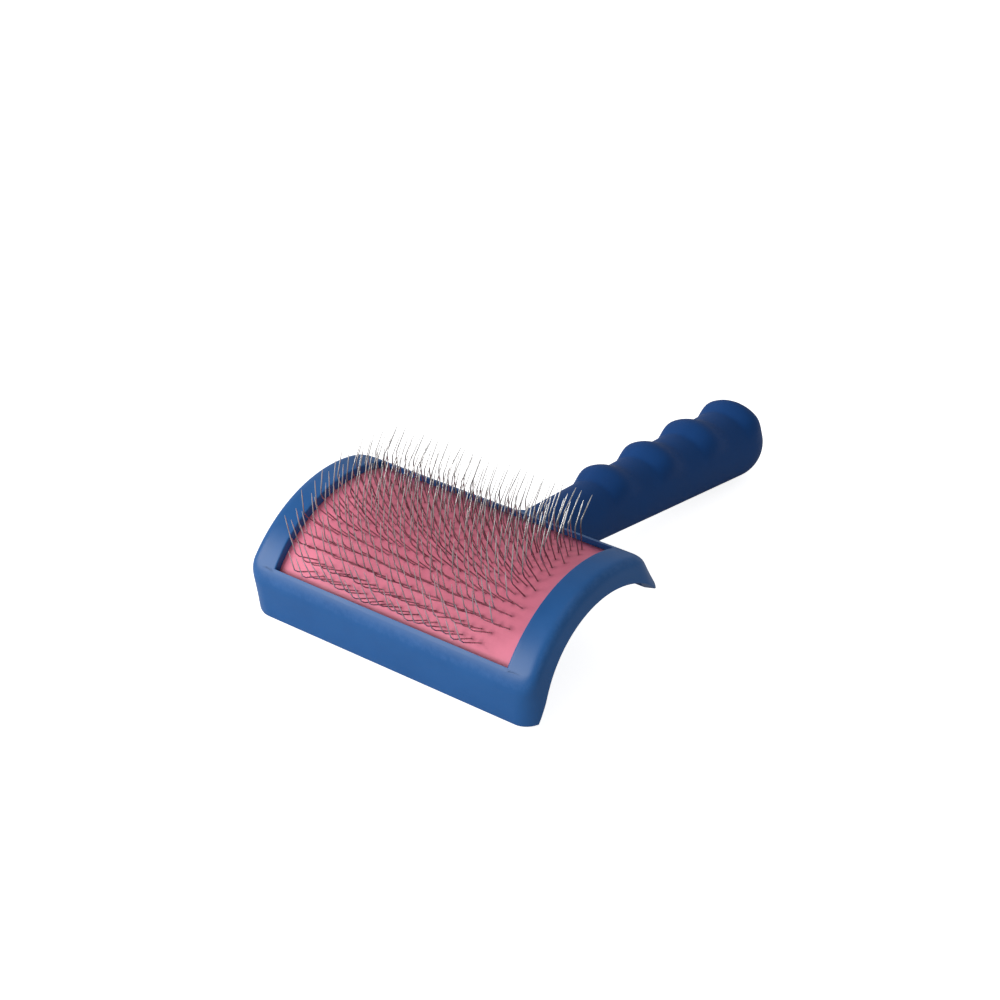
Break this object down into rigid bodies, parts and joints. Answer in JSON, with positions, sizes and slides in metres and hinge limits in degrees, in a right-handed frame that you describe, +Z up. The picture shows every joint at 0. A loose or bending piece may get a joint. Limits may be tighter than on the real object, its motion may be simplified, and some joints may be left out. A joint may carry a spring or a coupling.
{
  "type": "slicker brush",
  "caption": "Pet slicker brush with a curved oblong head of fine bent wire pins on a cushioned rubber pad and a ridged finger grip.",
  "frame": {"origin": "on the surface that the brush lies on, under the middle of its overall box", "axes": "+X along the head, +Y from the head to the handle's end, +Z up; the brush lies with its pins up, on the head's front bottom edge and the grip's belly"},
  "size_m": [0.109, 0.1894, 0.0508],
  "materials": {
    "blue_plastic": "satin moulded blue plastic",
    "grip_rubber": "matt navy soft-touch rubber",
    "foam": "closed-cell foam",
    "pink_rubber": "pink rubber face on a cloth foundation",
    "pin_steel": "bright drawn steel wire"
  },
  "bodies": {
    "brush_body": {"pad_frame": "blue_plastic", "head_back": "blue_plastic", "grip_sleeve": "grip_rubber", "foam_cushion": "foam"},
    "pin_bed": {"pin_pad": "pink_rubber", "pin_row_01": "pin_steel", "pin_row_02": "pin_steel", "pin_row_03": "pin_steel", "pin_row_04": "pin_steel", "pin_row_05": "pin_steel", "pin_row_06": "pin_steel", "pin_row_07": "pin_steel", "pin_row_08": "pin_steel", "pin_row_09": "pin_steel", "pin_row_10": "pin_steel", "pin_row_11": "pin_steel", "pin_row_12": "pin_steel", "pin_row_13": "pin_steel", "pin_row_14": "pin_steel"}
  },
  "joints": [
    {"name": "pad_press", "type": "slide", "parent": "brush_body", "child": "pin_bed", "axis": [0, 0.3647, -0.9311], "range_m": [0, 0.0008], "stiffness_N_per_m": 20000, "deforming": ["foam_cushion"]}
  ]
}
